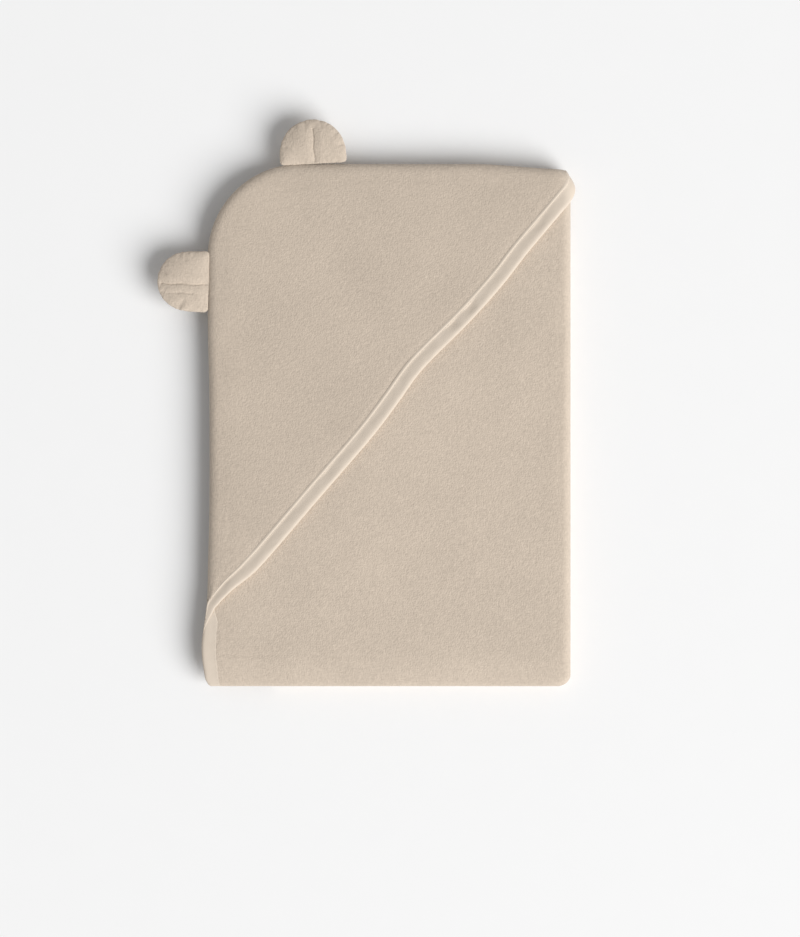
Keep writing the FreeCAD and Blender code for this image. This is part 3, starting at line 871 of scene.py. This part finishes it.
def inward_of(path):
    """Towards the middle of the cloth, square to its edge."""
    step = 0.5
    run = (inset(path + (step, 0)) - inset(path - (step, 0))) / (2 * step)
    fall = (inset(path + (0, step)) - inset(path - (0, step))) / (2 * step)
    way = np.stack([run, fall], axis=1)
    return way / np.linalg.norm(way, axis=1, keepdims=True)


def edge_stitches(name, path):
    """The row that holds a binding, near its inner edge on the cloth's front."""
    row = path + inward_of(path) * (EDGE_ROW * binding_share(path))[:, None]
    return stitch_row(name, folded(row, 1.3 * binding_swell(row)))


def make_edge_bindings():
    """One binding runs right round the cloth, from the mouth's left end to the hood's far
    end. It is cut where the cloth pieces meet."""
    far = CLOTH_LENGTH - CORNER
    side = side_falls(MOUTH_START - 1, far)
    runs = edge_runs(CORNER, SPLIT)
    start = np.vstack([
        np.stack([np.zeros(len(side)), side], axis=1),
        arc((CORNER, far), math.pi, math.pi / 2, 2.0),
        back_edge(runs)[1:],
    ])
    upper = edge_ribbon("edge_tape_upper", start, inward_of(start))
    upper_row = edge_stitches("edge_stitches_upper", start)

    runs = edge_runs(TOP_LEAF_END + 0.6 * BEND, SPLIT)
    runs = runs[runs > fold_columns(TOP_LEAF_END)[FOLD_STEPS // 2] - 1e-6]
    front = top_edge(runs)
    end = edge_ribbon("edge_tape_end", front, inward_of(front))
    end_row = edge_stitches("edge_stitches_end", front)

    whole = right_part_outline()
    at_split = np.abs(whole[:, 0] - SPLIT) < 1e-6
    first, last = np.flatnonzero(at_split)[[0, 1]]
    path = whole[first:last + 1]
    lower = edge_ribbon("edge_tape_lower", path, inward_of(path))
    lower_row = edge_stitches("edge_stitches_lower", path)
    return (upper, end, lower), (upper_row, end_row, lower_row)


# ------------------------------------------------------------------ the hood


def on_fold(flat):
    """The hood's own run, turned into the run of the cloth that it lies on."""
    past = np.maximum(flat[:, 0] - TOP_LEAF_END, 0)
    run = np.minimum(flat[:, 0], TOP_LEAF_END) + past * FOLD_RADIUS / HOOD_TURN
    return np.stack([run, flat[:, 1]], axis=1)


HOOD_SEAM = 5.0  # from the hood's edge to the stitches that hold it
HOOD_MARGIN = 3.9  # from the mouth's middle line to the hood's own edge, under the binding
SEAM_ROUND, MOUTH_ROUND = 4.5, 1.5  # how far in its edge is rounded, at its seams and mouth
SAG_REACH = 7.0  # how far in the hood comes down to the leaf along its seams


def mouth_widths(line):
    """The binding narrows towards its left end."""
    return np.interp(lengths_along(line), *zip(*MOUTH_TAPER))


def hood_outline():
    mouth = MOUTH + sideways(MOUTH) * -HOOD_MARGIN * mouth_widths(MOUTH)[:, None]
    in_hood = (mouth[:, 0] > 0.4) & (mouth[:, 1] < MOUTH_START - 4) & (mouth[:, 1] > TOP_DROP + 0.6)
    tip = mouth[in_hood]
    side = steps(CORNER, tip[0][1] - 1.0, 1.4)
    top = steps(CORNER, tip[-1][0] - 0.6, 1.4)
    return np.vstack([
        tip,
        top_edge(top[::-1]),
        arc((CORNER, CORNER), 1.5 * math.pi, math.pi, 1.4)[:-1],
        np.stack([np.zeros(len(side)), side], axis=1),
    ])


def hood_inset(flat, outline):
    """Distance from the hood's outline, for points up to a few millimetres inside it."""
    ends = np.roll(outline, -1, axis=0)
    along = ends - outline
    length = np.maximum((along**2).sum(axis=1), 1e-9)
    best = np.full(len(flat), 1e9)
    for start, way, size in zip(outline, along, length):
        near = np.abs(flat - start).max(axis=1) < 12
        off = flat[near] - start
        share = np.clip(off @ way / size, 0, 1)
        best[near] = np.minimum(best[near], np.hypot(*(off - share[:, None] * way).T))
    return best


def make_hood():
    """The hood panel: a triangle of terry with a round corner, thick and soft at its seams."""
    outline = hood_outline()
    lows, highs = outline.min(axis=0), outline.max(axis=0)

    def inside(pitch, seed):
        points = grid(steps(lows[0], highs[0], pitch), steps(lows[1], highs[1], pitch))
        points = jittered(points, 0.25 * pitch, seed)
        points = points[lies_inside(outline, points)]
        return points[hood_inset(points, outline) > 0.35 * pitch]

    def place(flat, side):
        edge = hood_inset(flat, outline)
        mouthness = smoothstep((beyond_mouth(*flat.T) + 16) / 10)
        rounding = SEAM_ROUND + (MOUTH_ROUND - SEAM_ROUND) * mouthness
        share = np.clip(edge / rounding, 0, 1)
        half = HALF_CLOTH * np.sqrt(np.maximum(1 - (1 - share) ** 2, 0.01))
        sag = (1 - mouthness) * (HALF_CLOTH + SLIP) * falling(edge, SAG_REACH)
        if side == 0:
            half = half * 0
        return folded(on_fold(flat), HOOD_LIFT - sag + side * half)

    # The hood's terry is painted darker than the towel's, as painted shade.
    hood = closed_sheet("hood_cloth", outline, inside(FINE, 5), inside(COARSE, 6), place, SHADED_HOOD_TERRY)
    roughened(hood, 0.075, 2.9, shows, 2.0)
    return hood


def make_hood_seam():
    """The row that sews the hood to the top leaf, hidden between the two."""
    runs = steps(CORNER, TOP_LEAF_END, 2.0)
    side = steps(CORNER, MOUTH_START - 10, 2.0)
    path = np.vstack([
        top_edge(runs[::-1]),
        arc((CORNER, CORNER), 1.5 * math.pi, math.pi, 2.0),
        np.stack([np.zeros(len(side)), side], axis=1)[1:],
    ])
    return stitch_row("hood_seam_stitches", folded(path + inward_of(path) * HOOD_SEAM, HALF_CLOTH))


# The mouth binding's section, from the hood's side round to its underside: distance towards
# the hood, and height above the towel. A narrow stitched ridge, a valley, then the smooth
# band, which rises to its rolled outer edge.
MOUTH_SECTION = [
    (6.6, 2.8), (5.95, 3.08), (5.3, 3.21), (4.85, 3.18), (4.5, 2.95), (4.25, 2.72), (3.95, 2.6),
    (3.4, 2.62), (2.4, 2.74), (0.8, 3.06), (-1.2, 3.38), (-3.0, 3.58), (-4.3, 3.42), (-5.1, 2.75),
    (-5.45, 1.8), (-5.3, 0.9), (-4.6, 0.3), (-2.0, 0.12), (3.0, 0.12), (5.0, 1.2),
]
MOUTH_ROW = (3.9, 2.6)  # where its stitches lie in that section
# Dents in the inner side of the band: place and width as shares of its length, and depth.
PUCKERS = [(0.68, 0.011, 1.0), (0.64, 0.009, 0.9), (0.33, 0.012, 0.4), (0.85, 0.012, 0.4)]


def mouth_place(aside, high, lift):
    """The line at one place of the mouth binding's section, in space."""
    flat = MOUTH - sideways(MOUTH) * (aside * mouth_widths(MOUTH))[:, None]
    flat[:, 0] = np.maximum(flat[:, 0], 0.1)
    flat[:, 1] = np.maximum(flat[:, 1], top_drop(flat[:, 0]) + 0.5)
    share = 0.12 + 0.88 * smoothstep(lengths_along(MOUTH) / 36.0)
    return folded(on_fold(flat), HALF_CLOTH + (high + lift) * share)


def make_mouth_binding():
    far = np.linspace(0, 1, len(MOUTH))
    dent = sum(depth * np.exp(-(((far - at) / wide) ** 2)) for at, wide, depth in PUCKERS)
    rings = []
    for aside, high in MOUTH_SECTION:
        wave = 0.2 * ripple(np.stack([far * 60, far * 0 + aside * 0.4, far * 0], axis=1), 1.0)
        if high > 2.4 and aside < 3.5:
            rings.append(mouth_place(aside, high, wave - dent * smoothstep((aside + 3.5) / 5)))
        else:
            rings.append(mouth_place(aside, high, 0.3 * wave))
    band = closed_loft("mouth_tape", np.stack(rings, axis=1), TAPE)
    return band, stitch_row("mouth_stitches", mouth_place(*MOUTH_ROW, 0.0))


# ------------------------------------------------------------------ the ears

SIM_SCALE = 10.0  # the ears are blown up at ten times their size, where the cloth behaves
EAR_THICKNESS = 7.0


def ear_outline(width, depth, widest, power, corner=3.5, pitch=1.5):
    """A round ear that points along +Y from its straight base: its widest place, and how
    round its end is."""
    half = width / 2
    across = np.cos(np.linspace(0, math.pi, 61))
    end = np.stack([
        half * across,
        widest + (depth - widest) * (1 - across**2) ** (1 / power),
    ], axis=1)
    turn = np.linspace(-math.pi / 2, 0, 6)
    low = np.stack([half - corner + corner * np.cos(turn), corner + corner * np.sin(turn)], axis=1)
    line = np.vstack([[(0.0, 0.0)], low, end, low[::-1] * (-1, 1), [(0.0, 0.0)]])
    return evenly(line, pitch)[:-1]


def blow_up(name, points, faces, held):
    """Fills two faces sewn together with air by cloth simulation. The held points stay."""
    mesh = bpy.data.meshes.new(name)
    mesh.from_pydata((points * MM * SIM_SCALE).tolist(), [], faces)
    pillow = bpy.data.objects.new(name, mesh)
    scene = bpy.context.scene
    scene.collection.objects.link(pillow)
    group = pillow.vertex_groups.new(name="held")
    group.add([int(index) for index in held], 1.0, "REPLACE")
    cloth = pillow.modifiers.new("cloth", "CLOTH")
    rules = cloth.settings
    rules.quality = 8
    rules.mass = 0.06
    rules.use_pressure = True
    rules.uniform_pressure_force = 5.0
    rules.tension_stiffness = 25
    rules.compression_stiffness = 25
    rules.bending_stiffness = 0.8
    rules.vertex_group_mass = "held"
    rules.effector_weights.gravity = 0
    frames = 20
    cloth.point_cache.frame_start = 1
    cloth.point_cache.frame_end = frames
    for number in range(1, frames + 1):
        scene.frame_set(number)
    graph = bpy.context.evaluated_depsgraph_get()
    result = pillow.evaluated_get(graph).data
    blown = np.array([vertex.co for vertex in result.vertices]) / (MM * SIM_SCALE)
    scene.frame_set(1)
    bpy.data.objects.remove(pillow)
    return blown


def ear_pillow(name, outline):
    """The two faces of an ear, sewn round their edge and blown up."""
    lows, highs = outline.min(axis=0), outline.max(axis=0)
    pitch = 1.6
    inside = grid(steps(lows[0], highs[0], pitch), steps(lows[1], highs[1], pitch))
    inside = jittered(inside, 0.2 * pitch, 9)
    inside = inside[lies_inside(outline, inside) & (hood_inset(inside, outline) > 0.55 * pitch)]
    count, start_height = len(outline), 0.8
    rim = np.column_stack([outline, np.zeros(count)])
    top = np.column_stack([inside, np.full(len(inside), start_height)])
    low = np.column_stack([inside, np.full(len(inside), -start_height)])
    points = np.vstack([rim, top, low])
    faces = fill_outline(outline, inside)
    under = [[corner if corner < count else corner + len(inside) for corner in face[::-1]]
             for face in faces]
    blown = blow_up(name, points, faces + under, np.flatnonzero(outline[:, 1] < 0.3))
    size = np.ptp(points[:, :2], axis=0) / np.ptp(blown[:, :2], axis=0)
    blown[:, 1] = (blown[:, 1] - blown[:, 1].min()) * size[1]
    blown[:, 0] *= size[0]
    blown[:, 2] *= EAR_THICKNESS / np.ptp(blown[:, 2])
    return blown, faces + under


def creased(points, creases):
    """Presses creases into the upper face of an ear: each a soft dip with a sharp line in it."""
    for x, start, end, depth in creases:
        aside = points[:, 0] - x - 0.35 * np.sin(0.4 * points[:, 1])
        away = np.hypot(aside, points[:, 1] - np.clip(points[:, 1], start, end))
        dip = 0.6 * np.exp(-((away / 3.2) ** 2)) + 0.4 * np.exp(-((away / 0.6) ** 2))
        points[:, 2] -= depth * dip * smoothstep(points[:, 2] / 1.5)
    return points


def place_ear(points, base, turn):
    angle = math.radians(turn)
    x, y, z = points.T
    return np.stack([
        base[0] + x * math.cos(angle) - y * math.sin(angle),
        base[1] + x * math.sin(angle) + y * math.cos(angle),
        base[2] + z,
    ], axis=1)


def subdivided(piece, levels):
    """Rounds a finished piece and takes the result as its mesh."""
    rounder = piece.modifiers.new("rounder", "SUBSURF")
    rounder.levels = rounder.render_levels = levels
    graph = bpy.context.evaluated_depsgraph_get()
    mesh = bpy.data.meshes.new_from_object(piece.evaluated_get(graph))
    piece.modifiers.remove(rounder)
    piece.data = mesh
    mesh.shade_smooth()
    return piece


def make_ear(name, shape, creases, base, turn):
    """One ear: a pillow of terry and, inside it, its wadding."""
    blown, faces = ear_pillow(name, ear_outline(*shape))
    ear = subdivided(make_piece(name + "_pillow", blown, faces, EAR_TERRY), 2)
    move_points(ear, place_ear(creased(points_of(ear), creases), base, turn))
    roughened(ear, 0.07, 2.4, None, 4.0)
    middle = np.array([0, shape[1] / 2, 0])
    core = (blown - middle) * (0.8, 0.8, 0.45) + middle
    wadding = make_piece(name + "_wadding", place_ear(core, base, turn), faces, WADDING)
    return ear, wadding


def make_ears():
    seam = HINGE["left_ear_bend"][2]
    left_base = (LEFT + 1.0, HINGE["left_ear_bend"][1], seam)
    right_base = (HINGE["right_ear_bend"][0] - 1.5, TOP - 0.2, seam)
    left = make_ear(
        "left_ear", (44.6, 37.6, 12.0, 2.3), [(-2.1, -2, 34, 1.5), (-8.6, 12, 30, 0.8)],
        left_base, 88,
    )
    right = make_ear("right_ear", (48.6, 32.6, 8.0, 2.0), [(0.7, -2, 25, 1.4)], right_base, 3.2)
    return left, right


# ------------------------------------------------------------------ lights, floor and camera


def make_set():
    scene = bpy.context.scene
    scene.view_settings.view_transform = "Standard"
    floor_look = Finish("floor", roughness=0.9, sheen=0.0)
    grain = floor_look.grain(floor_look.place(), 40.0)
    white = (1.0, 1.0, 1.0)
    mottled = floor_look.colour_between(grain, tone(white, 0.905), tone(white, 0.915))
    floor_look.finish(mottled, grain, 0.00001)
    reach = 4.0
    mesh = bpy.data.meshes.new("floor")
    corners = [(-reach, -reach, 0), (reach, -reach, 0), (reach, reach, 0), (-reach, reach, 0)]
    mesh.from_pydata(corners, [], [(0, 1, 2, 3)])
    mesh.materials.append(floor_look.material)
    floor = bpy.data.objects.new("floor", mesh)
    scene.collection.objects.link(floor)

    world = bpy.data.worlds.new("studio")
    world.use_nodes = True
    world.node_tree.nodes["Background"].inputs["Color"].default_value = (1, 1, 1, 1)
    world.node_tree.nodes["Background"].inputs["Strength"].default_value = 0.34
    scene.world = world

    lamp = bpy.data.lights.new("key", "AREA")
    lamp.shape = "DISK"
    lamp.size = 13.5
    lamp.energy = 3000.0
    key = bpy.data.objects.new("key", lamp)
    key.location = (10.0, -6.75, 10.5)
    key.rotation_euler = (-key.location).to_track_quat("-Z", "Y").to_euler()
    scene.collection.objects.link(key)

    camera_data = bpy.data.cameras.new("camera")
    camera = bpy.data.objects.new("camera", camera_data)
    height = 3.0
    view_width = 0.5728
    camera.location = (0.0255, -0.0469, height)
    camera_data.sensor_fit = "HORIZONTAL"
    camera_data.lens = camera_data.sensor_width * (height - SURFACE * MM) / view_width
    camera_data.clip_end = 20.0
    scene.collection.objects.link(camera)
    scene.camera = camera


def main():
    make_set()
    upper, lower = make_cloth()
    (tape_upper, tape_end, tape_lower), (row_upper, row_end, row_lower) = make_edge_bindings()
    hood = make_hood()
    hood_seam = make_hood_seam()
    mouth, mouth_row = make_mouth_binding()
    (left_ear, left_wadding), (right_ear, right_wadding) = make_ears()

    for piece in (upper, tape_upper, tape_end, row_upper, row_end, hood, mouth, mouth_row):
        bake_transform(piece)
    for piece in (lower, tape_lower, row_lower):
        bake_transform(piece)
    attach(hood_seam, "top_leaf")

    for side, ear, wadding, way in (
        ("left_ear", left_ear, left_wadding, Vector((-1, 0, 0))),
        ("right_ear", right_ear, right_wadding, Vector((0, 1, 0))),
    ):
        place, reach = Vector(HINGE[side + "_bend"] * MM), way * 1.6 * MM
        place - reach
        place + reach
        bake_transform(ear)
        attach(wadding, side)
        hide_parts(side + "_front", side + "_back")
        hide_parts(side + "_filling")

    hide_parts("towel_leaf_top", "towel_leaf_middle")
    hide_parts("towel_leaf_bottom")
    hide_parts("edge_binding_top", "edge_binding_middle")
    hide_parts("edge_binding_bottom")
    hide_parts("edge_stitching")
    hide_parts("hood_panel")
    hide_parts("hood_seam_thread")
    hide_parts("mouth_binding")
    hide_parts("mouth_stitching")
    length = CLOTH_LENGTH * MM
    SPLIT * MM
    lower_flat = ((CLOTH_WIDTH - SPLIT) * MM, length)


main()
